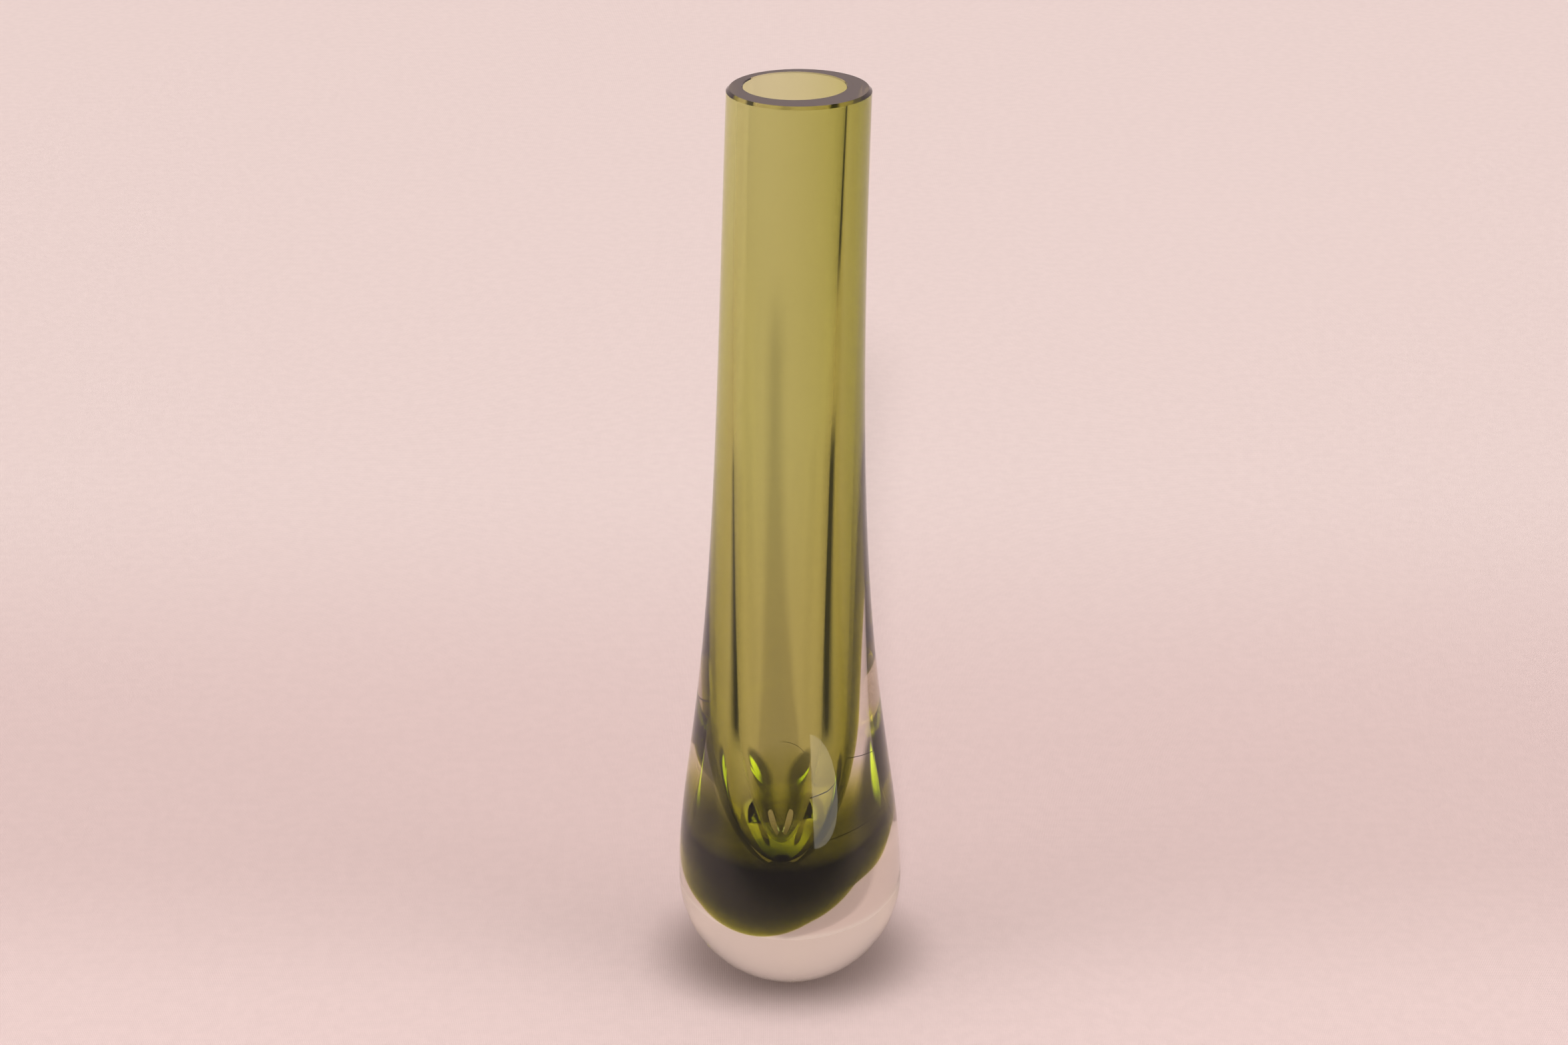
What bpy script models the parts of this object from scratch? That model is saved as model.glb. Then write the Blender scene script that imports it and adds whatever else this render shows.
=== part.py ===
"""Tall bud vase of cased glass, in metres with +Z up and the origin under its foot.

Two gathers of glass make it. The green core is a thin tube round a long bore, and under the bore
it hangs as a heavy drop whose top is hollow like a cup and whose chin leans to one side. The clear
casing covers it from the ground foot to the cut rim.
"""
import bpy
import numpy as np

# Outline of the casing
HEIGHT = 0.250
BODY_RADIUS = 0.0305
NECK_RADIUS = 0.0184
FOOT_RADIUS = 0.0135
SHOULDER_LENGTH = 0.0377
SHOULDER_FALL_SHARE = 0.856
RIM_BEVEL = 0.0008

# How the hand-worked neck strays from upright: its lean at the rim, and its bow half way up
LEAN = 0.0022
BOW = 0.0013

# The bore: its wall at the rim, how much narrower it is at the bottom, and its rounded tip
NECK_WALL = 0.0052
BORE_TAPER = 0.0021
BORE_TIP_LENGTH = 0.041
BORE_SHIFT = (-0.0006, 0.0017)
LIP_BEVEL = 0.0003

# The core's film round the bore, which is thicker on its +X side, and its depth under the bore
FILM = 0.0009
FILM_SHIFT = 0.0002
STEM_DEPTH = 0.0015

# The drop: a bowl of glass, its hollow top, and the fillet that joins it to the film
CLEAR_FLOOR = 0.0152
CORE_FLOOR = 0.0190
DROP_RADIUS = 0.0207
DROP_HEIGHT = 0.0160
FLAT_HEIGHT = 0.0142
DROP_CUP = 0.0095
CUP_POWER = 6
FLARE = 0.015
FLARE_LENGTH = 0.0018
BLEND_POWER = 4

# How the drop hangs: its slope, and the chin that leans aside between two shares of its height
DROP_TILT_SHARE = 0.06
CHIN_SHIFT = (-0.0033, -0.0005)
CHIN_START_SHARE = 0.52
CHIN_END_SHARE = 0.70

# Clearance between the two glasses, and the fineness of the meshes
FIT_GAP = 0.0003
FACES_ROUND = 48
FOOT_RINGS = 2
BOWL_RINGS = 9
NECK_RINGS = 22
DROP_RINGS = 16
TUBE_RINGS = 19
BORE_RINGS = 24
EVEN_POWER = 1.3
CLIMB_POWER = 2
TUBE_POWER = 2.5
SHARP_ANGLE = 20

BODY_HEIGHT = np.sqrt(BODY_RADIUS**2 - FOOT_RADIUS**2)
DROP_TOP = CLEAR_FLOOR + FLAT_HEIGHT
BORE_FLOOR = CLEAR_FLOOR + CORE_FLOOR
STEM_FLOOR = BORE_FLOOR - STEM_DEPTH

GREEN = (0.30, 0.36, 0.05)
CLEAR = (0.93, 0.92, 0.90)
GLASS_ROUGHNESS = 0.02
GLASS_IOR = 1.5


def bell(height, round_length, fall):
    """Fall away from 1: flat for about round_length, then a steady exponential."""
    return np.exp(-fall * (np.sqrt(1 + (height / round_length)**2) - 1))


def dome(share):
    """Rise from 0 to 1 along a quarter of an ellipse, and stay 1 beyond a share of 1."""
    left = np.clip(1 - share, 0, 1)
    return np.sqrt(1 - left**2)


def ease(share):
    """Rise from 0 to 1 with a soft start and a soft end."""
    share = np.clip(share, 0, 1)
    return share**2 * (3 - 2 * share)


def axis_at(z):
    """Centre line of the casing at a height, in X: a lean with a slight bow."""
    rise = np.clip((z - BODY_HEIGHT) / (HEIGHT - BODY_HEIGHT), 0, 1)
    return LEAN * rise - BOW * 4 * rise * (1 - rise)


def casing_radius(z):
    """Outer radius: a ball below the widest ring, a bell that falls to the neck above it."""
    below = np.sqrt(np.clip(BODY_RADIUS**2 - (BODY_HEIGHT - z)**2, 0, None))
    above = bell(z - BODY_HEIGHT, SHOULDER_LENGTH, SHOULDER_FALL_SHARE)
    return np.where(z < BODY_HEIGHT, below, NECK_RADIUS + (BODY_RADIUS - NECK_RADIUS) * above)


def barrel_radius(z):
    """Radius of the straight run of the bore, which narrows steadily downwards."""
    down = (HEIGHT - z) / (HEIGHT - BORE_FLOOR)
    return NECK_RADIUS - NECK_WALL - BORE_TAPER * down


def bore_radius(z):
    """Radius of the bore with its long rounded tip."""
    return barrel_radius(z) * dome((z - BORE_FLOOR) / BORE_TIP_LENGTH)


def core_radius(z):
    """Outer radius of the core: a bowl below, blended with the film that flares into it."""
    bowl = DROP_RADIUS * np.sqrt(np.clip((z - CLEAR_FLOOR) / DROP_HEIGHT, 0, None))
    stem = (barrel_radius(z) + FILM) * dome((z - STEM_FLOOR) / (BORE_TIP_LENGTH + STEM_DEPTH))
    flare = stem + FLARE * np.exp((DROP_TOP - z) / FLARE_LENGTH)
    ratio = np.minimum(bowl, flare) / np.maximum(bowl, flare)
    return np.minimum(bowl, flare) * (1 + ratio**BLEND_POWER)**(-1 / BLEND_POWER)


def drop_share(z):
    """1 in the drop, and a quick fall to 0 above it."""
    return bell(np.clip(z - DROP_TOP, 0, None), FLARE_LENGTH, 1)


def climb(low, high, count, power):
    """Heights that start close together at the bottom, where the forms curve most."""
    return low + (high - low) * np.linspace(0, 1, count)**power


def core_heights():
    """Heights of the core's rings before its rim is raised, closest at the top of the drop."""
    drop = CLEAR_FLOOR + FLAT_HEIGHT * ease(np.linspace(0, 1, DROP_RINGS, endpoint=False))
    return np.concatenate([drop, climb(DROP_TOP, HEIGHT, TUBE_RINGS, TUBE_POWER)])


def casing_rings(radius, z):
    """Place round rings on the casing's own centre line."""
    return [ring(r, axis_at(h), 0, h, 0) for r, h in zip(radius, z)]


def bore_rings(radius, z):
    """Place round rings on the bore's centre line."""
    shift_x, shift_y = BORE_SHIFT
    return [ring(r, axis_at(h) + shift_x, shift_y, h, 0) for r, h in zip(radius, z)]


def core_rings(gap):
    """The core's outside, moved outwards by a gap: cupped and tilted at the drop, chin aside."""
    z = core_heights()
    radius = core_radius(z)
    near = drop_share(z)
    raised = z + DROP_CUP * near * (radius / DROP_RADIUS)**CUP_POWER
    raised[-1] = HEIGHT
    share = (z - CLEAR_FLOOR) / DROP_HEIGHT
    chin = 1 - ease((share - CHIN_START_SHARE) / (CHIN_END_SHARE - CHIN_START_SHARE))
    x = axis_at(z) + BORE_SHIFT[0] + FILM_SHIFT + CHIN_SHIFT[0] * chin
    y = BORE_SHIFT[1] + CHIN_SHIFT[1] * chin
    tilt = DROP_TILT_SHARE * near
    wide, high = offset(radius, raised, gap)
    wide[0] = 0
    high[-1] = HEIGHT
    return [ring(*one) for one in zip(wide, x, y, high, tilt)]


def ring(radius, x, y, z, tilt):
    """Points round one level circle, which a tilt raises on its +X side."""
    turn = np.linspace(0, 2 * np.pi, FACES_ROUND, endpoint=False)
    east = radius * np.cos(turn)
    return np.stack([x + east, y + radius * np.sin(turn), z + tilt * east], axis=1)


def offset(radius, z, gap):
    """Move a profile outwards, so that each of its edges ends up a gap from where it was."""
    edge_r, edge_z = np.diff(radius), np.diff(z)
    length = np.hypot(edge_r, edge_z)
    out_r, out_z = edge_z / length, -edge_r / length
    both_r = np.concatenate([-out_r[:1], out_r]) + np.concatenate([out_r, out_r[-1:]])
    both_z = np.concatenate([out_z[:1], out_z]) + np.concatenate([out_z, out_z[-1:]])
    reach = 2 * gap / (both_r**2 + both_z**2)
    return radius + reach * both_r, z + reach * both_z


def glass(name, colour):
    """Clear polished glass of one colour."""
    material = bpy.data.materials.new(name)
    material.use_nodes = True
    shader = material.node_tree.nodes["Principled BSDF"]
    shader.inputs["Base Color"].default_value = (*colour, 1)
    shader.inputs["Roughness"].default_value = GLASS_ROUGHNESS
    shader.inputs["Metallic"].default_value = 0
    shader.inputs["IOR"].default_value = GLASS_IOR
    shader.inputs["Transmission Weight"].default_value = 1
    material.diffuse_color = (*colour, 1)
    return material


def skin(name, rings, material):
    """Close a stack of rings into one solid: up the outside, over the rim and down the inside.

    The first and the last ring have no radius, so each becomes a single point.
    """
    middle = rings[1:-1]
    points = [rings[0][0]] + [p for one in middle for p in one] + [rings[-1][0]]
    last = len(points) - 1
    faces = []
    for step in range(FACES_ROUND):
        after = (step + 1) % FACES_ROUND
        faces.append((0, 1 + after, 1 + step))
        for level in range(len(middle) - 1):
            low = 1 + level * FACES_ROUND
            high = low + FACES_ROUND
            faces.append((low + step, low + after, high + after, high + step))
        top = 1 + (len(middle) - 1) * FACES_ROUND
        faces.append((top + step, top + after, last))
    mesh = bpy.data.meshes.new(name)
    mesh.from_pydata([tuple(p) for p in points], [], faces)
    mesh.shade_smooth()
    mesh.set_sharp_from_angle(angle=np.radians(SHARP_ANGLE))
    mesh.materials.append(material)
    piece = bpy.data.objects.new(name, mesh)
    bpy.context.collection.objects.link(piece)
    return piece


def make_core():
    """The green drop and tube, from the lowest point up, over the lip and down the bore."""
    bore_z = climb(BORE_FLOOR, HEIGHT - LIP_BEVEL, BORE_RINGS, CLIMB_POWER)
    bore = bore_rings(bore_radius(bore_z), bore_z)
    lip = bore_rings(bore_radius(np.array([HEIGHT])) + LIP_BEVEL, np.array([HEIGHT]))
    return skin("green_core", core_rings(0) + lip + bore[::-1], glass("green_glass", GREEN))


def make_casing():
    """The clear cover: flat foot, ball, neck, bevelled rim, then the cavity that holds the core."""
    foot = casing_rings(np.linspace(0, FOOT_RADIUS, FOOT_RINGS, endpoint=False),
                        np.zeros(FOOT_RINGS))
    bowl_turn = np.linspace(np.arcsin(FOOT_RADIUS / BODY_RADIUS), np.pi / 2, BOWL_RINGS,
                            endpoint=False)
    bowl_z = BODY_HEIGHT - BODY_RADIUS * np.cos(bowl_turn)
    bowl_z[0] = 0
    neck_z = climb(BODY_HEIGHT, HEIGHT - RIM_BEVEL, NECK_RINGS, EVEN_POWER)
    wall_z = np.concatenate([bowl_z, neck_z])
    wall = casing_rings(casing_radius(wall_z), wall_z)
    top = np.array([HEIGHT])
    rim = casing_rings(casing_radius(top) - RIM_BEVEL, top)
    cavity = core_rings(FIT_GAP)
    return skin("clear_casing", foot + wall + rim + cavity[::-1], glass("clear_glass", CLEAR))


for old in list(bpy.data.objects):
    bpy.data.objects.remove(old, do_unlink=True)
make_core()
make_casing()
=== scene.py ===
# %% [markdown]
# # A tall bud vase of cased glass
#
# The real vase is two gathers of glass: an olive green one, blown into a thick tube with a heavy
# drop at its foot, and a clear one that was gathered over it and shaped into a long neck and a
# ball. What makes it look like glass is inside it, so this lesson rebuilds both skins of each
# gather as finely as they are in life, and lets the light bend and fade between them.

# %% Load the frame
import bpy
import numpy as np
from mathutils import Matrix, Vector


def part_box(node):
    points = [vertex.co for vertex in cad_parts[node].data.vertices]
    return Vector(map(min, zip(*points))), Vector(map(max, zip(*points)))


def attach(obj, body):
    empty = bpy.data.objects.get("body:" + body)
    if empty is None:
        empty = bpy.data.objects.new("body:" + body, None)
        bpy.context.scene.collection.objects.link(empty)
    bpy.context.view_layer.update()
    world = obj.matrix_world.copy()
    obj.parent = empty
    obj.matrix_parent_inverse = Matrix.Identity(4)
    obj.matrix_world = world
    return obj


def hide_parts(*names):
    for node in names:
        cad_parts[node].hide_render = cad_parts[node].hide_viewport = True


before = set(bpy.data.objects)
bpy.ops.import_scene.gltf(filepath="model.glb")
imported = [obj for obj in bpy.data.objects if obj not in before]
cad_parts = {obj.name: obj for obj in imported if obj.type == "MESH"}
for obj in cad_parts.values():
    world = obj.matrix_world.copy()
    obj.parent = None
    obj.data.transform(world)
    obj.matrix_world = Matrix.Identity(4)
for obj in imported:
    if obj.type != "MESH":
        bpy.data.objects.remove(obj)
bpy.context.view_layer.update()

case_low, case_high = (np.array(corner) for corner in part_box("clear_casing"))
print("casing of the frame from", case_low, "to", case_high)

# %% [markdown]
# ## The outline
#
# The casing was shaped by hand with wet wood while it turned, so its outline is three plain forms:
# a ball below, a shoulder that falls away from it like a bell, and a neck that is almost a
# straight tube. It could be a drawn curve that is spun, but then nothing says what its points
# mean. Here the height and the widest radius come from the frame, and each other number is one
# thing that a maker would measure. A neck made by hand is never quite upright either, so the
# centre line has a lean and a slight bow.

# %% Sizes of the outline, in metres
HEIGHT = case_high[2]
BODY_RADIUS = (case_high[0] - case_low[0]) / 2
NECK_RADIUS = 0.0184
FOOT_RADIUS = 0.0135
SHOULDER_LENGTH = 0.0377
SHOULDER_FALL = 0.856
RIM_BEVEL = 0.0008
LEAN = 0.0022
BOW = 0.0013
BODY_HEIGHT = np.sqrt(BODY_RADIUS**2 - FOOT_RADIUS**2)
print("widest ring at", round(BODY_HEIGHT, 4), "radius", round(BODY_RADIUS, 4))


# %% The casing's profile
def bell(height, round_length, fall):
    """1 at height 0; exp(-fall * (sqrt(1 + (height / round_length)^2) - 1)) above it."""
    return np.exp(-fall * (np.sqrt(1 + (height / round_length)**2) - 1))


def axis_at(z):
    """Centre line in X: the lean times the rise, less the bow times 4 * rise * (1 - rise)."""
    rise = np.clip((z - BODY_HEIGHT) / (HEIGHT - BODY_HEIGHT), 0, 1)
    return LEAN * rise - BOW * 4 * rise * (1 - rise)


def casing_radius(z):
    """A circle's half chord below the widest ring, and a bell that falls to the neck above it."""
    below = np.sqrt(np.clip(BODY_RADIUS**2 - (BODY_HEIGHT - z)**2, 0, None))
    above = bell(z - BODY_HEIGHT, SHOULDER_LENGTH, SHOULDER_FALL)
    return np.where(z < BODY_HEIGHT, below, NECK_RADIUS + (BODY_RADIUS - NECK_RADIUS) * above)


print("radius at half height", round(float(casing_radius(np.array(HEIGHT / 2))), 4))

# %% [markdown]
# ## The bore
#
# The bubble that was blown into the green gather became the hole for the stem: a long tube that
# narrows a little downwards and ends in a long rounded tip. The tip is a quarter of an ellipse
# turned round, so it is smooth where it meets the tube. The bore lies a little to one side of the
# casing, because the clear gather never covers the green one evenly.

# %% Sizes and profile of the bore
NECK_WALL = 0.0052
BORE_TAPER = 0.0021
BORE_TIP_LENGTH = 0.041
BORE_SHIFT = (-0.0011, 0.0017)
BORE_LEAN = 0.0004
LIP_BEVEL = 0.0003
CLEAR_FLOOR = 0.0152
CORE_FLOOR = 0.0190
BORE_FLOOR = CLEAR_FLOOR + CORE_FLOOR


def dome(share):
    """0 at share 0 and 1 from share 1 on: the root of 1 - (1 - share)^2."""
    left = np.clip(1 - share, 0, 1)
    return np.sqrt(1 - left**2)


def bore_axis_at(z):
    """Centre line of the bore in X: the casing's, plus a shift that grows steadily downwards."""
    return axis_at(z) + BORE_SHIFT[0] - BORE_LEAN * (HEIGHT - z) / HEIGHT


def barrel_radius(z):
    """The bore's straight run: a cone that narrows by the taper from the rim to its floor."""
    return NECK_RADIUS - NECK_WALL - BORE_TAPER * (HEIGHT - z) / (HEIGHT - BORE_FLOOR)


def bore_radius(z):
    """The straight run, closed by a dome of the tip's length."""
    return barrel_radius(z) * dome((z - BORE_FLOOR) / BORE_TIP_LENGTH)


print("bore floor at", round(BORE_FLOOR, 4), "mouth", round(2 * float(barrel_radius(HEIGHT)), 4))

# %% [markdown]
# ## The green film and the drop
#
# The green glass is a film round the bore, and under the bore it hangs as a heavy drop whose top
# is hollow like a cup. The bowl's outside is one formula, flat below and steep at its wall. The
# hollow falls from the bowl's rim to the film, softly in front and steeply at two thick lobes
# behind. The drop hangs slightly tilted, and its chin leans to one side, as it did when it cooled.

# %% Sizes of the film and the drop
FILM = 0.0013
FILM_SHIFT = 0.0004
STEM_DEPTH = 0.0015
STEM_FLOOR = BORE_FLOOR - STEM_DEPTH
DROP_RADIUS = 0.0207
DROP_HEIGHT = 0.0160
WALL_HEIGHT = 0.0153
WALL_POWER = 6.5
CUP_FLOOR = 0.0335
CUP_POWER = 3
CUP_LEAN = (0.04, 0.05)
REAR_LIFT = 0.42
REAR_POWER = 1.5
LOBE_TURNS = (50, 130)
LOBE_SPREAD = 28
LOBE_POWER = 0.5
DROP_TILT = 0.06
CHIN_SHIFT = (-0.0026, -0.0005)
CHIN_FROM = 0.52
CHIN_TO = 0.70


def stem_radius(z):
    """The film round the bore: its straight run plus the film, closed by a longer dome."""
    return (barrel_radius(z) + FILM) * dome((z - STEM_FLOOR) / (BORE_TIP_LENGTH + STEM_DEPTH))


def bowl_height(share):
    """Height of the drop's outside at a share s of its radius: floor + rise s^2 + wall s^power."""
    return CLEAR_FLOOR + DROP_HEIGHT * share**2 + WALL_HEIGHT * share**WALL_POWER


print("drop from", CLEAR_FLOOR, "to", round(bowl_height(1), 4))

# %% [markdown]
# ## From profiles to rings
#
# A turned skin is a stack of level rings, so it is a grid: one way up the profile, the other way
# round. numpy works out the whole grid at once. The rows lie close together where the glass
# curves most, because light that passes through a coarse curve breaks into facets. The casing's
# cavity is the core's own skin moved outwards by a hair, so that the two glasses never cross.

# %% Rings
FACES_ROUND = 192


def climb(low, high, count, power):
    """Heights from low to high, close together at the bottom: low + (high - low) * t^power."""
    return low + (high - low) * np.linspace(0, 1, count)**power


def column(values):
    """Values by row as a column, so that they spread round each ring; anything else as it is."""
    return values[:, None] if np.ndim(values) == 1 else values


def rings(radius, z, x, y, slope_x=0, slope_y=0):
    """Circles x + r cos t, y + r sin t, whose z is raised by r (slope_x cos t + slope_y sin t)."""
    turn = np.linspace(0, 2 * np.pi, FACES_ROUND, endpoint=False)[None, :]
    east = column(radius) * np.cos(turn)
    north = column(radius) * np.sin(turn)
    raised = column(z) + column(slope_x) * east + column(slope_y) * north
    return np.stack([column(x) + east, column(y) + north, raised], axis=-1)


def casing_rings(radius, z):
    """Rings on the casing's own centre line."""
    return rings(radius, z, axis_at(z), 0)


def bore_rings(radius, z):
    """Rings on the bore's own centre line."""
    return rings(radius, z, bore_axis_at(z), BORE_SHIFT[1])


def offset(radius, z, gap):
    """Profiles moved outwards by gap along their normals: their slopes turned by a quarter."""
    slope_r, slope_z = np.gradient(radius, axis=0), np.gradient(z, axis=0)
    length = np.hypot(slope_r, slope_z)
    return radius + gap * slope_z / length, z - gap * slope_r / length


print("a ring has", rings(np.ones(1), np.zeros(1), 0, 0).shape[1], "points")

# %% [markdown]
# ## The core's outside
#
# Its rows run from the lowest point of the drop up the bowl, over the rim of the cup, in and down
# the hollow, and then up the film to the lip. Each of the hand-made accidents is one more term
# that is 1 in its own part and fades to 0 in the next, so the skin stays one smooth sheet.

# %% Rings of the core's outside
BOWL_ROWS = 100
HOLLOW_ROWS = 50
STEM_ROWS = 100
STEM_POWER = 2.5


def hollow_power():
    """Power of the hollow's rise for each turn: soft in front, steep at two lobes behind.

    Each lobe is exp(-(turn away from it / its spread)^4), and turns the soft power to the steep.
    """
    turn = np.linspace(0, 360, FACES_ROUND, endpoint=False)
    away = np.abs(turn - np.array(LOBE_TURNS)[:, None])
    lobes = np.exp(-(away / LOBE_SPREAD)**4).sum(axis=0)
    return CUP_POWER + (LOBE_POWER - CUP_POWER) * np.clip(lobes, 0, 1)


def core_rings(gap):
    """The core's outside moved out by a gap: bowl, hollow and stem, tilted and its chin aside.

    The bowl's radius is R sin t. The hollow runs in from the rim to the stem, and its height falls
    with the share of that way to a power. The stem climbs to the lip. Behind, each ring of the bowl
    is lifted by a share of its radius times sin(turn)^power, and the hollow by less and less of it.
    """
    bowl = np.sin(np.linspace(0, np.pi / 2, BOWL_ROWS, endpoint=False))
    inward = np.linspace(1, 0, HOLLOW_ROWS, endpoint=False)
    stem_z = climb(CUP_FLOOR, HEIGHT, STEM_ROWS, STEM_POWER)
    no_stem = 0 * stem_z
    level = np.ones((1, FACES_ROUND))
    join = stem_radius(CUP_FLOOR)
    radius = np.concatenate([DROP_RADIUS * bowl, join + (DROP_RADIUS - join) * inward,
                             stem_radius(stem_z)])
    hollow = CUP_FLOOR + (bowl_height(1) - CUP_FLOOR) * inward[:, None]**hollow_power()
    z = np.concatenate([bowl_height(bowl)[:, None] * level, hollow, stem_z[:, None] * level])
    turn = np.linspace(0, 2 * np.pi, FACES_ROUND, endpoint=False)
    behind = np.clip(np.sin(turn), 0, 1)**REAR_POWER
    lifted = np.concatenate([bowl**0, inward**CUP_POWER, no_stem])
    z = z + REAR_LIFT * (lifted * radius)[:, None] * behind
    hung = np.concatenate([bowl**0, inward, no_stem])
    cupped = np.concatenate([bowl**WALL_POWER, inward**CUP_POWER, no_stem])
    share = np.append(bowl**2, np.ones(len(z) - len(bowl)))
    share = np.clip((share - CHIN_FROM) / (CHIN_TO - CHIN_FROM), 0, 1)
    chin = 1 - share**2 * (3 - 2 * share)
    centre_z = np.concatenate([bowl_height(bowl), CUP_FLOOR + 0 * inward, stem_z])
    uneven = FILM_SHIFT * (centre_z / HEIGHT)**3
    x = bore_axis_at(centre_z) + uneven + CHIN_SHIFT[0] * chin
    y = BORE_SHIFT[1] + CHIN_SHIFT[1] * chin
    wide, high = offset(radius[:, None] * level, z, gap)
    wide[0] = 0
    high[0] = CLEAR_FLOOR - gap
    high[-1] = HEIGHT
    return rings(wide, high, x, y, DROP_TILT * hung + CUP_LEAN[0] * cupped, CUP_LEAN[1] * cupped)


outside = core_rings(0)
print("core's outside", outside.shape[0], "rings, up to", round(float(outside[..., 2].max()), 4))

# %% [markdown]
# ## From rings to one closed skin
#
# Refraction needs a mesh with no hole in it and every face pointing outwards. Quads join each
# ring to the next and a fan closes each end on the axis. Where the green glass is fused to the
# clear one there is no surface at all, so each face says in an attribute whether it is such a
# seam, and the material leaves it open.

# %% Skin
SHARP_ANGLE = 32


def skin(name, grid, seam_rows):
    """A closed mesh from a stack of rings whose first and last are single points on the axis.

    Point i of ring j is number 1 + j * round + i; a quad joins i and i + 1 of rings j and j + 1.
    """
    count, around = len(grid) - 2, FACES_ROUND
    points = np.concatenate([grid[0, :1], grid[1:-1].reshape(-1, 3), grid[-1, :1]])
    step = np.arange(around)
    after = (step + 1) % around
    low = 1 + around * np.arange(count - 1)[:, None]
    quads = np.stack([low + step, low + after, low + around + after, low + around + step], -1)
    top = 1 + around * (count - 1)
    first = np.stack([0 * step, 1 + after, 1 + step], -1)
    last = np.stack([top + step, top + after, 0 * step + len(points) - 1], -1)
    faces = [*first.tolist(), *quads.reshape(-1, 4).tolist(), *last.tolist()]
    mesh = bpy.data.meshes.new(name)
    mesh.from_pydata(points.tolist(), [], faces)
    mesh.shade_smooth()
    mesh.set_sharp_from_angle(angle=np.radians(SHARP_ANGLE))
    row = np.concatenate([np.zeros(around, int), np.repeat(np.arange(1, count), around),
                          np.full(around, count)])
    seam = mesh.attributes.new("seam", "FLOAT", "FACE")
    seam.data.foreach_set("value", np.isin(row, seam_rows).astype(np.float32))
    piece = bpy.data.objects.new(name, mesh)
    bpy.context.collection.objects.link(piece)
    print(name, len(points), "points", len(faces), "faces")
    return piece


# %% [markdown]
# ## The green core
#
# On the real vase this is the first gather. Its skin goes up the outside, over a small bevel at
# the lip and down the bore. All of the outside is a seam, and only the bore is polished by fire.

# %% The green core
BORE_ROWS = 180
BORE_POWER = 2

top = np.array([HEIGHT])
bore_z = climb(BORE_FLOOR, HEIGHT - LIP_BEVEL, BORE_ROWS, BORE_POWER)
bore = bore_rings(bore_radius(bore_z), bore_z)
lip = bore_rings(bore_radius(top) + LIP_BEVEL, top)
core_grid = np.concatenate([outside, lip, bore[::-1]])
green_core = skin("core_glass", core_grid, np.arange(len(outside) - 1))

# %% [markdown]
# ## The clear casing
#
# On the real vase this is the second gather, cut off at the rim, bevelled and polished, and
# ground flat at the foot so that it stands. Its skin goes out across the foot, up the ball and
# the neck, over the bevel, and then down the cavity that holds the core.

# %% The clear casing
FOOT_RINGS = (0, 0.5, 0.98)
BALL_ROWS = 50
NECK_ROWS = 140
NECK_POWER = 1.3
FUSE_GAP = 0.00001

foot = casing_rings(FOOT_RADIUS * np.array(FOOT_RINGS), np.zeros(len(FOOT_RINGS)))
ball_turn = np.linspace(np.arcsin(FOOT_RADIUS / BODY_RADIUS), np.pi / 2, BALL_ROWS, endpoint=False)
ball_z = BODY_HEIGHT - BODY_RADIUS * np.cos(ball_turn)
ball_z[0] = 0
neck_z = climb(BODY_HEIGHT, HEIGHT - RIM_BEVEL, NECK_ROWS, NECK_POWER)
wall_z = np.concatenate([ball_z, neck_z])
wall = casing_rings(casing_radius(wall_z), wall_z)
rim = casing_rings(casing_radius(top) - RIM_BEVEL, top)
casing_grid = np.concatenate([foot, wall, rim, core_rings(FUSE_GAP)[::-1]])
first_seam = len(foot) + len(wall) + len(rim)
clear_casing = skin("casing_glass", casing_grid, np.arange(first_seam, len(casing_grid) - 1))

# %% [markdown]
# ## Shader maths
#
# A finish is a formula over the surface, and a tree of Math nodes is hard to read as one. This
# small class wraps a socket so that plus, minus and times write the nodes, and the bench holds the
# tree they stand in. Other nodes come from one method, and the shapes that come back again and
# again, such as a soft step, are short methods on top of it. Only the mixes and the output are made
# apart, because sockets of a mix share their names and an output leads nowhere.

# %% A wire
class Wire:
    """A node socket that behaves like a number: each operator adds one Math node."""

    def __init__(self, bench, socket):
        self.bench, self.socket = bench, socket

    def maths(self, operation, *values):
        node = self.bench.tree.nodes.new("ShaderNodeMath")
        node.operation = operation
        for place, value in zip(node.inputs, values):
            self.bench.feed(place, value)
        return Wire(self.bench, node.outputs[0])

    def __add__(self, other):
        return self.maths("ADD", self, other)

    def __sub__(self, other):
        return self.maths("SUBTRACT", self, other)

    def __rsub__(self, other):
        return self.maths("SUBTRACT", other, self)

    def __mul__(self, other):
        return self.maths("MULTIPLY", self, other)

    __radd__ = __add__
    __rmul__ = __mul__

    def most(self, other):
        return self.maths("MAXIMUM", self, other)

    def size(self):
        return self.maths("ABSOLUTE", self)

    def sine(self):
        return self.maths("SINE", self)


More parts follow.
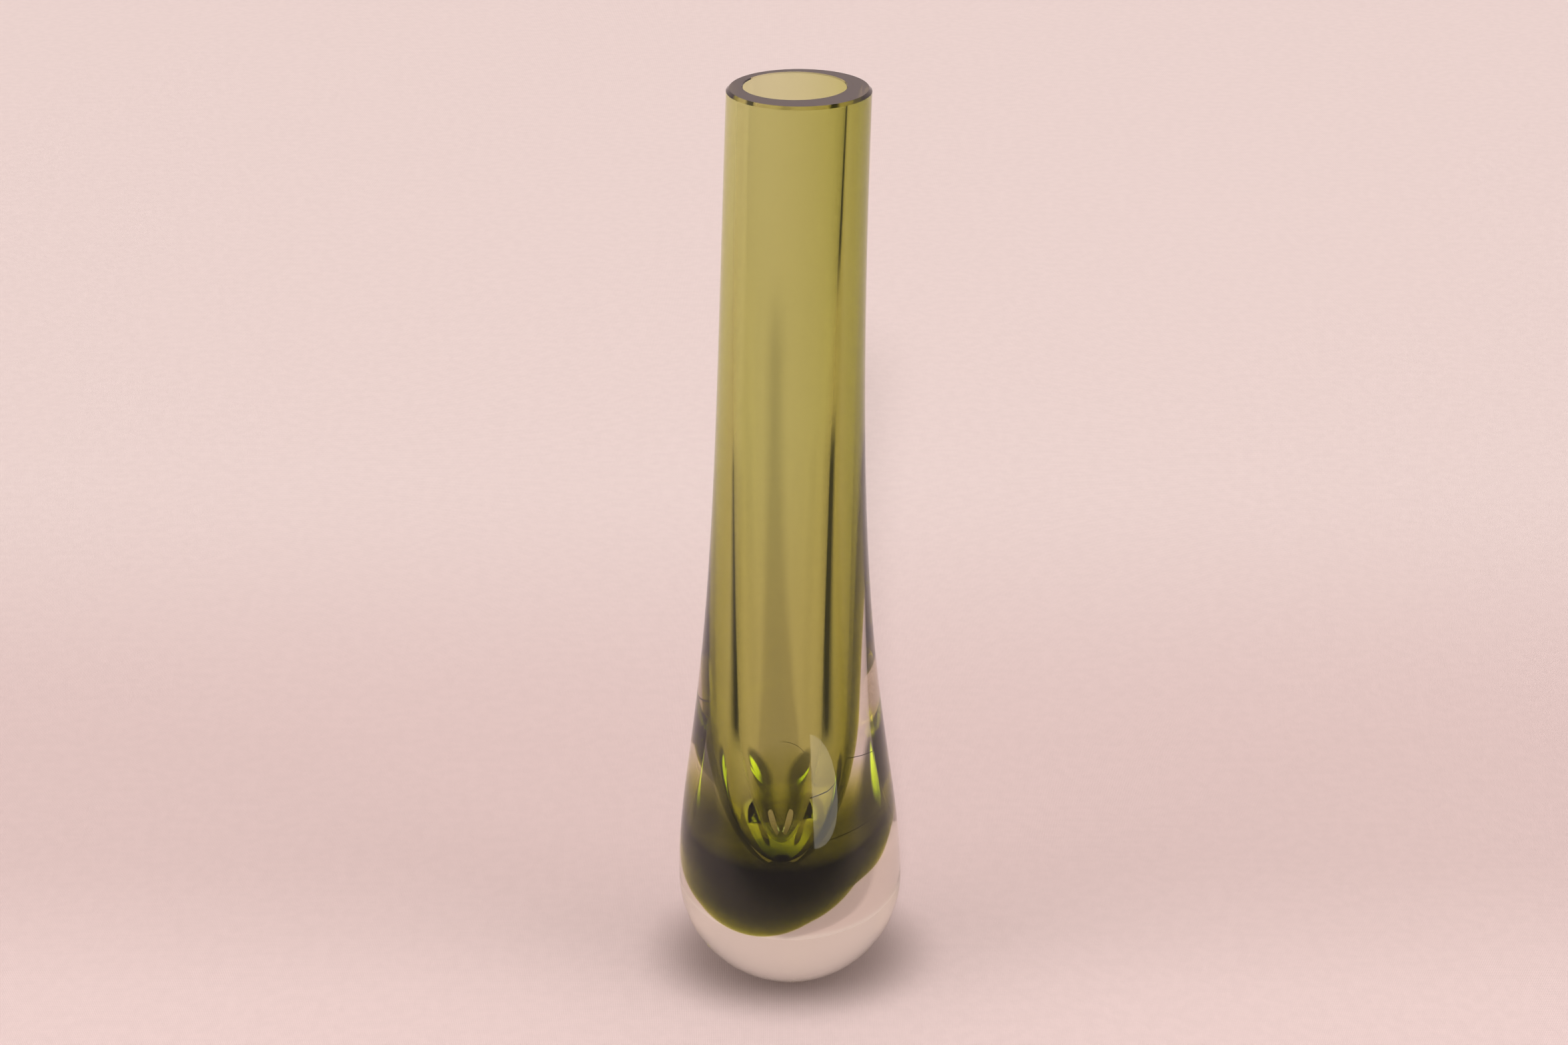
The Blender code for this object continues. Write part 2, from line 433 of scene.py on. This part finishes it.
# %% A bench
class Bench:
    """A node tree, on which nodes are laid out and wired."""

    def __init__(self, name, tree=None):
        self.material = None
        self.tree = tree
        if tree is None:
            self.material = bpy.data.materials.new(name)
            self.material.use_nodes = True
            self.tree = self.material.node_tree
            self.tree.nodes.clear()

    def feed(self, place, value):
        if isinstance(value, Wire):
            self.tree.links.new(value.socket, place)
        else:
            place.default_value = value

    def node(self, kind, settings=None, output=0, **inputs):
        """One node: its settings first, then a value or a wire for each named socket."""
        node = self.tree.nodes.new(kind)
        for name, value in (settings or {}).items():
            setattr(node, name, value)
        for name, value in inputs.items():
            self.feed(node.inputs[name.replace("_", " ")], value)
        return Wire(self, node.outputs[output])

    def step(self, value, start, end):
        """A soft step: 0 up to start, 1 from end on, and 3 t^2 - 2 t^3 on the way."""
        soft = {"interpolation_type": "SMOOTHSTEP"}
        return self.node("ShaderNodeMapRange", soft, 0, Value=value, From_Min=start, From_Max=end)

    def axes(self, kind="Object"):
        """The three coordinates of the place that is shaded."""
        place = self.node("ShaderNodeTexCoord", None, kind)
        split = self.node("ShaderNodeSeparateXYZ", None, 0, Vector=place).socket.node
        return [Wire(self, socket) for socket in split.outputs]

    def reach(self, x, y):
        """How far a point is from the origin: the root of x^2 + y^2."""
        spot = self.node("ShaderNodeCombineXYZ", None, 0, X=x, Y=y)
        return self.node("ShaderNodeVectorMath", {"operation": "LENGTH"}, "Value", Vector=spot)

    def ray(self, kind):
        """1 for light of one kind, such as Is Camera Ray, and 0 for the rest."""
        return self.node("ShaderNodeLightPath", None, kind)

    def blend(self, share, first, second):
        """The colour first where share is 0 and second where it is 1."""
        node = self.tree.nodes.new("ShaderNodeMix")
        node.data_type = "RGBA"
        for place, value in zip((0, 6, 7), (share, first, second)):
            self.feed(node.inputs[place], value)
        return Wire(self, node.outputs[2])

    def mix(self, share, first, second):
        """The shader first where share is 0 and second where it is 1."""
        node = self.tree.nodes.new("ShaderNodeMixShader")
        for place, value in zip(node.inputs, (share, first, second)):
            self.feed(place, value)
        return Wire(self, node.outputs[0])

    def finish(self, surface, volume=None):
        """Wire the shaders to the output, and hand back the material."""
        out = self.tree.nodes.new("ShaderNodeOutputMaterial")
        self.feed(out.inputs["Surface"], surface)
        if volume:
            self.feed(out.inputs["Volume"], volume)
        print(self.material.name, len(self.tree.nodes), "nodes")
        return self.material


# %% [markdown]
# ## The two glasses
#
# The colour of real glass is in its depth: the longer the way through it, the less light is left.
# So nothing is painted on the skins, and each glass absorbs light by the metre, the green one
# dozens of times as strongly. The skins have what hands and years leave on glass: a slight swell,
# faint smears, and a ground foot. Light for the floor goes straight through and is dimmed at each
# skin, because bent light that gathers behind glass is slow to find.

# %% Glass
GLASS_IOR = 1.52
SWELL_SCALE = 24.0
SWELL_DEPTH = 0.0003
SWELL_STRENGTH = 0.2
SMEAR_SCALE = 70.0
SMEAR_SPAN = (0.52, 0.70)
SMEAR = 0.004
GROUND_SPAN = (0.0006, 0.0001)
GROUND = 0.18


def glass(name, passing, tint, density):
    """Polished glass that is open at its seam.

    Shadow and diffuse rays go straight through, and take the passing colour at each polished skin.
    Inside, all light fades in each channel by exp(-density * (1 - tint)) for each metre.
    """
    b = Bench(name)
    place = b.node("ShaderNodeTexCoord", None, "Object")
    swell = b.node("ShaderNodeTexNoise", None, 0, Vector=place, Scale=SWELL_SCALE, Detail=1.0)
    ripple = b.node("ShaderNodeBump", None, 0, Height=swell, Strength=SWELL_STRENGTH,
                    Distance=SWELL_DEPTH)
    touch = b.node("ShaderNodeTexNoise", None, 0, Vector=place, Scale=SMEAR_SCALE, Detail=3.0)
    smear = SMEAR * b.step(touch, *SMEAR_SPAN)
    ground = GROUND * b.step(b.axes()[2], *GROUND_SPAN)
    polish = b.node("ShaderNodeBsdfPrincipled", None, 0, Base_Color=(1, 1, 1, 1), IOR=GLASS_IOR,
                    Roughness=smear + ground, Transmission_Weight=1.0, Normal=ripple)
    passed = b.node("ShaderNodeBsdfTransparent", None, 0, Color=(*passing, 1))
    open_seam = b.node("ShaderNodeBsdfTransparent")
    seam = b.node("ShaderNodeAttribute", {"attribute_name": "seam"}, "Fac")
    straight = b.ray("Is Shadow Ray").most(b.ray("Is Diffuse Ray"))
    body = b.node("ShaderNodeVolumeAbsorption", None, 0, Color=(*tint, 1), Density=density)
    return b.finish(b.mix(seam, b.mix(straight, polish, passed), open_seam), body)


# %% Dress the two pieces
GREEN_PASSING = (0.30, 0.28, 0.12)
GREEN_TINT = (0.757, 0.769, 0.22)
GREEN_DENSITY = 780.0
CLEAR_PASSING = (0.42, 0.39, 0.37)
CLEAR_TINT = (0.70, 0.59, 0.37)
CLEAR_DENSITY = 10.0

green_glass = glass("green_glass", GREEN_PASSING, GREEN_TINT, GREEN_DENSITY)
clear_glass = glass("clear_glass", CLEAR_PASSING, CLEAR_TINT, CLEAR_DENSITY)
green_core.data.materials.append(green_glass)
clear_casing.data.materials.append(clear_glass)
for piece, node, slot in ((green_core, "green_core", "green_glass"),
                          (clear_casing, "clear_casing", "clear_glass")):
    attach(piece, "root")
    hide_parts(node)

# %% [markdown]
# ## The cloth on the table
#
# The vase stands on a pale pink cloth. A plain disc is enough for it, since its threads are too
# fine to be geometry: two crossed sines are the weave and a noise is the uneven yarn. The cloth is
# a little pinker near the vase, and a painted shadow darkens it most round the foot, where the base
# keeps the light off. To every ray but the camera's own, its front is painted darker, as painted
# shade for the dim side of the room.

# %% The floor
FLOOR_RADIUS = 6.0
FLOOR_DROP = 0.0001
CLOTH_FAR = (0.83, 0.65, 0.612, 1)
CLOTH_NEAR = (0.752, 0.547, 0.516, 1)
CLOTH_FRONT = (0.85, 0.635, 0.60, 1)
FRONT_SHADE_COLOUR = (0.02, 0.015, 0.012, 1)
NEAR_SPAN = (0.38, 0.12)
FRONT_SPAN = (0.07, -0.03)
FRONT_SHADE_SPAN = (-0.05, -0.14)
FRONT_SHADE_STRENGTH = 0.6
PAINTED_SHADOW_COLOUR = (0.14, 0.08, 0.06, 1)
PAINTED_SHADOW_BEHIND = 0.006
PAINTED_SHADOW_INNER = (0.010, 0.020)
PAINTED_SHADOW_OUTER = (0.046, 0.020)
PAINTED_SHADOW_STRENGTH = 0.68
THREADS = 6300
YARN_COLOUR = (0.45, 0.33, 0.31, 1)
YARN_SCALE = 240.0
YARN_SPAN = (0.35, 0.65)
YARN = 0.06
WEAVE_SHARE = 0.4
WEAVE_STRENGTH = 0.25
WEAVE_DEPTH = 0.0004

bpy.ops.mesh.primitive_circle_add(vertices=96, radius=FLOOR_RADIUS, fill_type="NGON")
floor = bpy.context.object
floor.name = "floor"
floor.location.z = -FLOOR_DROP
b = Bench("floor_cloth")
across, depth, _ = b.axes()
# Painted shadow: the cloth's colour is blended towards a dark brown in a soft ring round the foot.
reach = b.reach(across, depth - PAINTED_SHADOW_BEHIND)
painted_contact_shadow = PAINTED_SHADOW_STRENGTH * b.step(reach, *PAINTED_SHADOW_INNER) * b.step(reach, *PAINTED_SHADOW_OUTER)
tone = b.blend(b.step(depth, *NEAR_SPAN), CLOTH_FAR, CLOTH_NEAR)
tone = b.blend(b.step(depth, *FRONT_SPAN), tone, CLOTH_FRONT)
tone = b.blend(painted_contact_shadow, tone, PAINTED_SHADOW_COLOUR)
# Painted shade: for every ray but the camera's own, the front of the cloth is blended towards near
# black.
dim = FRONT_SHADE_STRENGTH * b.step(depth, *FRONT_SHADE_SPAN) * (1 - b.ray("Is Camera Ray"))
tone = b.blend(dim, tone, FRONT_SHADE_COLOUR)
place = b.node("ShaderNodeTexCoord", None, "Object")
yarn = b.node("ShaderNodeTexNoise", None, 0, Vector=place, Scale=YARN_SCALE, Detail=4.0)
tone = b.blend(YARN * b.step(yarn, *YARN_SPAN), tone, YARN_COLOUR)
weave = ((across + depth) * THREADS).sine() * ((across - depth) * THREADS).sine()
relief = b.node("ShaderNodeBump", None, 0, Height=WEAVE_SHARE * weave + yarn, Strength=WEAVE_STRENGTH,
                Distance=WEAVE_DEPTH)
cloth = b.node("ShaderNodeBsdfPrincipled", None, 0, Base_Color=tone, Roughness=0.9, Normal=relief)
floor.data.materials.append(b.finish(cloth))

# %% [markdown]
# ## Cards for bent light
#
# Much of what a vase shows is not the vase: it is what stands round it, bent by the glass. A
# photographer puts cards there, and so does this scene. Each card is seen only by light that has
# passed through the glass, never straight on. They are part of the stage, not of the object.

# %% A card
def card(name, size, place):
    """A level card that only light bent by the glass can see."""
    bpy.ops.mesh.primitive_plane_add(size=size, location=place)
    piece = bpy.context.object
    piece.name = name
    for kind in ("camera", "diffuse", "glossy", "shadow"):
        setattr(piece, "visible_" + kind, False)
    print(name, "at", place)
    return piece


def covered(b, cover, tone):
    """Show a tone where cover is 1, and nothing where it is 0."""
    return b.finish(b.mix(cover, b.node("ShaderNodeBsdfTransparent"), tone))


def matt(b, colour, **glow):
    """A matt paint with no shine."""
    return b.node("ShaderNodeBsdfPrincipled", None, 0, Base_Color=colour, Roughness=0.9,
                  Specular_IOR_Level=0.0, **glow)


def spot(b, x, y, place, tightness, span):
    """An oval with a soft edge: 1 at its place, and 0 past the start of the span.

    Each way, the distance from the place is multiplied by that way's tightness.
    """
    return b.step(b.reach((x - place[0]) * tightness[0], (y - place[1]) * tightness[1]), *span)


# %% [markdown]
# ### The vase's own shadow
#
# Low behind the vase lies its shadow, and in it the lime lines of the light that the glass
# gathers. The two windows beside the bore show both. The real pattern could come from caustics, but
# these need far more light paths than a plain render has, so the shadow is drawn: a soft oval on
# each side, a line that crosses it, and one brighter patch. It is open from below, because the clear
# foot looks up at it.

# %% The shadow card
SHADE_COLOUR = (0.045, 0.04, 0.02, 1)
SHADE = 0.8
OVAL_PLACE = (0.0255, -0.003)
OVAL_TIGHTNESS = (55, 85)
OVAL_SPAN = (1.15, 0.65)
LIME = (0.85, 1.0, 0.06, 1)
LIME_STRENGTH = 1.7
LINE_TURN = (0.267, 0.964)
LINE_PLACE = (0.0321, -0.0099)
LINE_WIDTH = (0.0018, 0.0008)
LINE_FROM = (-0.008, -0.004)
LINE_TO = (0.014, 0.006)
PATCH_PLACE = (-0.0305, -0.0045)
PATCH_TIGHTNESS = (105, 230)

shadow_card = card("shadow_card", size=0.12, place=(0, 0.05, 0.016))
b = Bench("shadow_tone")
across, depth, _ = b.axes()
aside = across.size()
oval = spot(b, aside, depth, OVAL_PLACE, OVAL_TIGHTNESS, OVAL_SPAN)
from_x, from_y = aside - LINE_PLACE[0], depth - LINE_PLACE[1]
off = (LINE_TURN[0] * from_x + LINE_TURN[1] * from_y).size()
along = LINE_TURN[0] * from_y - LINE_TURN[1] * from_x
line = b.step(off, *LINE_WIDTH) * b.step(along, *LINE_FROM) * b.step(along, *LINE_TO)
patch = spot(b, across, depth, PATCH_PLACE, PATCH_TIGHTNESS, OVAL_SPAN)
glint = line.most(patch)
lime = b.blend(glint, (0, 0, 0, 1), LIME)
tone = matt(b, SHADE_COLOUR, Emission_Color=lime, Emission_Strength=LIME_STRENGTH)
above = 1 - b.node("ShaderNodeNewGeometry", None, "Backfacing")
shadow_card.data.materials.append(covered(b, (SHADE * oval).most(glint) * above, tone))

# %% [markdown]
# ### Light under the foot
#
# The clear base works as a lens and gathers light on the cloth right under and before itself. Seen
# through the tip of the bore it lights up an olive crescent in the dark drop. A ring of soft light
# stands for it, with two gaps where only the edges of the casing would show it.

# %% The glow card
GLOW_COLOUR = (1.0, 0.86, 0.55, 1)
GLOW_STRENGTH = 2.2
GLOW_INNER = (0.010, 0.014)
GLOW_OUTER = (0.042, 0.034)
GLOW_BEHIND = (0.012, 0.004)
GAP_PLACE = (0.0280, -0.0205)
GAP_SPAN = (0.0085, 0.0055)

glow_card = card("glow_card", size=0.1, place=(0, 0.004, -0.00004))
b = Bench("glow_tone")
across, depth, _ = b.axes()
reach = b.reach(across, depth)
ring = b.step(reach, *GLOW_INNER) * b.step(reach, *GLOW_OUTER) * b.step(depth, *GLOW_BEHIND)
gap = b.step(b.reach(across.size() - GAP_PLACE[0], depth - GAP_PLACE[1]), *GAP_SPAN)
glow = b.node("ShaderNodeEmission", None, 0, Color=GLOW_COLOUR, Strength=GLOW_STRENGTH)
glow_card.data.materials.append(covered(b, ring * (1 - gap), glow))

# %% [markdown]
# ### The dark sides of the table
#
# The neck shows a thin dark line along each side of the bore. Light that grazes the bore comes
# from far out at the sides of the table. Two dark wedges lie there, cut by the lines y = 0.36 x and
# y = -0.36 x, and broken where the line in the neck is paler.

# %% The side card
SIDE_COLOUR = (0.05, 0.045, 0.03, 1)
WEDGE_START = (0.07, 0.12)
WEDGE_SLOPE = 0.36
WEDGE_FAR = (0.03, -0.03)
WEDGE_FALL = 0.1
WEDGE_NEAR = (-0.04, 0.03)
PALE_START = (0.31, 0.38)
PALE_END = (0.45, 0.54)

side_card = card("side_card", size=2.0, place=(0, 0, 0.0004))
b = Bench("side_tone")
across, depth, _ = b.axes()
aside = across.size()
wedge = b.step(aside, *WEDGE_START) * b.step(depth - WEDGE_SLOPE * aside, *WEDGE_FAR)
wedge = wedge * b.step(depth + WEDGE_FALL * aside, *WEDGE_NEAR)
pale = b.step(aside, *PALE_START) * (1 - b.step(across, *PALE_END))
side_card.data.materials.append(covered(b, wedge * (1 - pale), matt(b, SIDE_COLOUR)))

# %% [markdown]
# ## The room
#
# The room is a pale wall that fills the view, and a plain grey light on everything else. Only for
# reflections is the upper front of it dim, because the real vase reflects a dim room there, and
# without it a white veil would lie over the green.

# %% The room
WALL_COLOUR = (0.774, 0.597, 0.565, 1)
ROOM_LIGHT = (0.53, 0.53, 0.53, 1)
SHADE_UP = (0.04, 0.30)
SHADE_AHEAD = (0.35, -0.15)
ROOM_SHADE = 0.92

world = bpy.data.worlds.new("room")
bpy.context.scene.world = world
world.use_nodes = True
b = Bench("room", world.node_tree)
shine = b.ray("Is Glossy Ray")
seen = b.ray("Is Camera Ray").most(shine).most(b.ray("Is Transmission Ray"))
_, ahead, up = b.axes("Generated")
shade = ROOM_SHADE * shine * b.step(up, *SHADE_UP) * b.step(ahead, *SHADE_AHEAD)
background = world.node_tree.nodes["Background"]
b.feed(background.inputs["Color"], b.blend(seen, ROOM_LIGHT, WALL_COLOUR))
b.feed(background.inputs["Strength"], 1 - shade)
print("room", len(world.node_tree.nodes), "nodes")

# %% [markdown]
# ## Lamps
#
# The photograph is lit softly, with one clearer light from the camera's side: it throws the
# vase's shadow straight back, which is the darker band in the middle of the neck. Two wide far
# lamps light the cloth evenly, and two soft boxes at the sides give the glass its quiet edges.

# %% The lamps
BOX_COLOUR = (0.93, 1.0, 0.98)


def turned(back):
    """The turn that lays a lamp's own Z axis along a direction."""
    return (np.arctan2(np.hypot(back[0], back[1]), back[2]), 0, np.arctan2(back[0], -back[1]))


def lamp_at(name, kind, back):
    """A new lamp of one kind, whose light travels against the direction back."""
    lamp = bpy.data.lights.new(name, kind)
    holder = bpy.data.objects.new(name, lamp)
    bpy.context.collection.objects.link(holder)
    holder.rotation_euler = turned(back)
    print(name, kind)
    return lamp, holder


def daylight(name, aim, strength, spread):
    """A far lamp whose light travels along aim, as soft as the angle it fills."""
    lamp, sun = lamp_at(name, "SUN", -np.array(aim))
    lamp.energy, lamp.angle = strength, np.radians(spread)
    sun.visible_glossy = False
    sun.visible_transmission = False


def softbox(name, place, aim, width, height, power):
    """A rectangular area lamp at place that faces aim, and adds shine but no diffuse light."""
    lamp, box = lamp_at(name, "AREA", np.array(place) - np.array(aim))
    lamp.shape = "RECTANGLE"
    lamp.size, lamp.size_y, lamp.energy = width, height, power
    lamp.color = BOX_COLOUR
    box.location = place
    box.visible_diffuse = False


daylight("front_light", aim=(0.02, 1.0, -0.5), strength=2.2, spread=5)
daylight("left_light", aim=(0.8, 0.25, -0.7), strength=0.5, spread=40)
daylight("right_light", aim=(-0.8, 0.25, -0.7), strength=0.5, spread=40)
for side in (-1, 1):
    softbox("side_softbox", place=(side * 0.82, -0.88, 0.68), aim=(0, 0, 0.06), width=0.45,
            height=0.6, power=9.0)

# %% [markdown]
# ## The window
#
# On the lower right of the bore the real vase reflects a window as a small pale sail. Half an
# ellipse near the vase gives that shape. Only reflections see it.

# %% The window
PANE_POINTS = 48
PANE_SIZE = (0.060, 0.017)
PANE_PLACE = (0.051, -0.12, 0.041)
PANE_TURN = 37
PANE_COLOUR = (1.0, 0.92, 0.86, 1)
PANE_STRENGTH = 2.4

turn = np.linspace(-np.pi / 2, np.pi / 2, PANE_POINTS)
outline = np.stack([PANE_SIZE[0] * np.cos(turn), 0 * turn, PANE_SIZE[1] * np.sin(turn)], -1)
pane_mesh = bpy.data.meshes.new("window_pane")
pane_mesh.from_pydata(outline.tolist(), [], [list(range(PANE_POINTS))])
pane = bpy.data.objects.new("window_pane", pane_mesh)
bpy.context.collection.objects.link(pane)
pane.location = PANE_PLACE
pane.rotation_euler = (0, 0, np.radians(PANE_TURN))
b = Bench("window_light")
glow = b.node("ShaderNodeEmission", None, 0, Color=PANE_COLOUR, Strength=PANE_STRENGTH)
pane_mesh.materials.append(b.finish(glow))
for kind in ("camera", "diffuse", "transmission", "shadow"):
    setattr(pane, "visible_" + kind, False)

# %% [markdown]
# ## The camera
#
# The camera stands about 0.9 m in front of the vase and half a metre up, and looks down a little.
# These numbers were fitted to the outline. Light may turn many times inside thick glass before it
# comes out, so it may bounce more often than usual.

# %% The camera
LENS = 85
SENSOR = 36
CAMERA_PLACE = (-0.00164, -0.9096, 0.5012)
LOOK_DOWN = 22.14
LIGHT_TURNS = 32
GLOSSY_TURNS = 16
OPEN_SEAMS = 48

camera_data = bpy.data.cameras.new("camera")
camera = bpy.data.objects.new("camera", camera_data)
bpy.context.collection.objects.link(camera)
camera_data.lens = LENS
camera_data.sensor_width = SENSOR
camera_data.clip_start = 0.01
camera.location = CAMERA_PLACE
camera.rotation_euler = (np.radians(90 - LOOK_DOWN), 0, 0)
scene = bpy.context.scene
scene.camera = camera
scene.view_settings.view_transform = "Standard"
scene.cycles.max_bounces = LIGHT_TURNS
scene.cycles.transmission_bounces = LIGHT_TURNS
scene.cycles.glossy_bounces = GLOSSY_TURNS
scene.cycles.transparent_max_bounces = OPEN_SEAMS
scene.cycles.caustics_refractive = False
scene.cycles.caustics_reflective = False
print("camera at", tuple(camera.location))
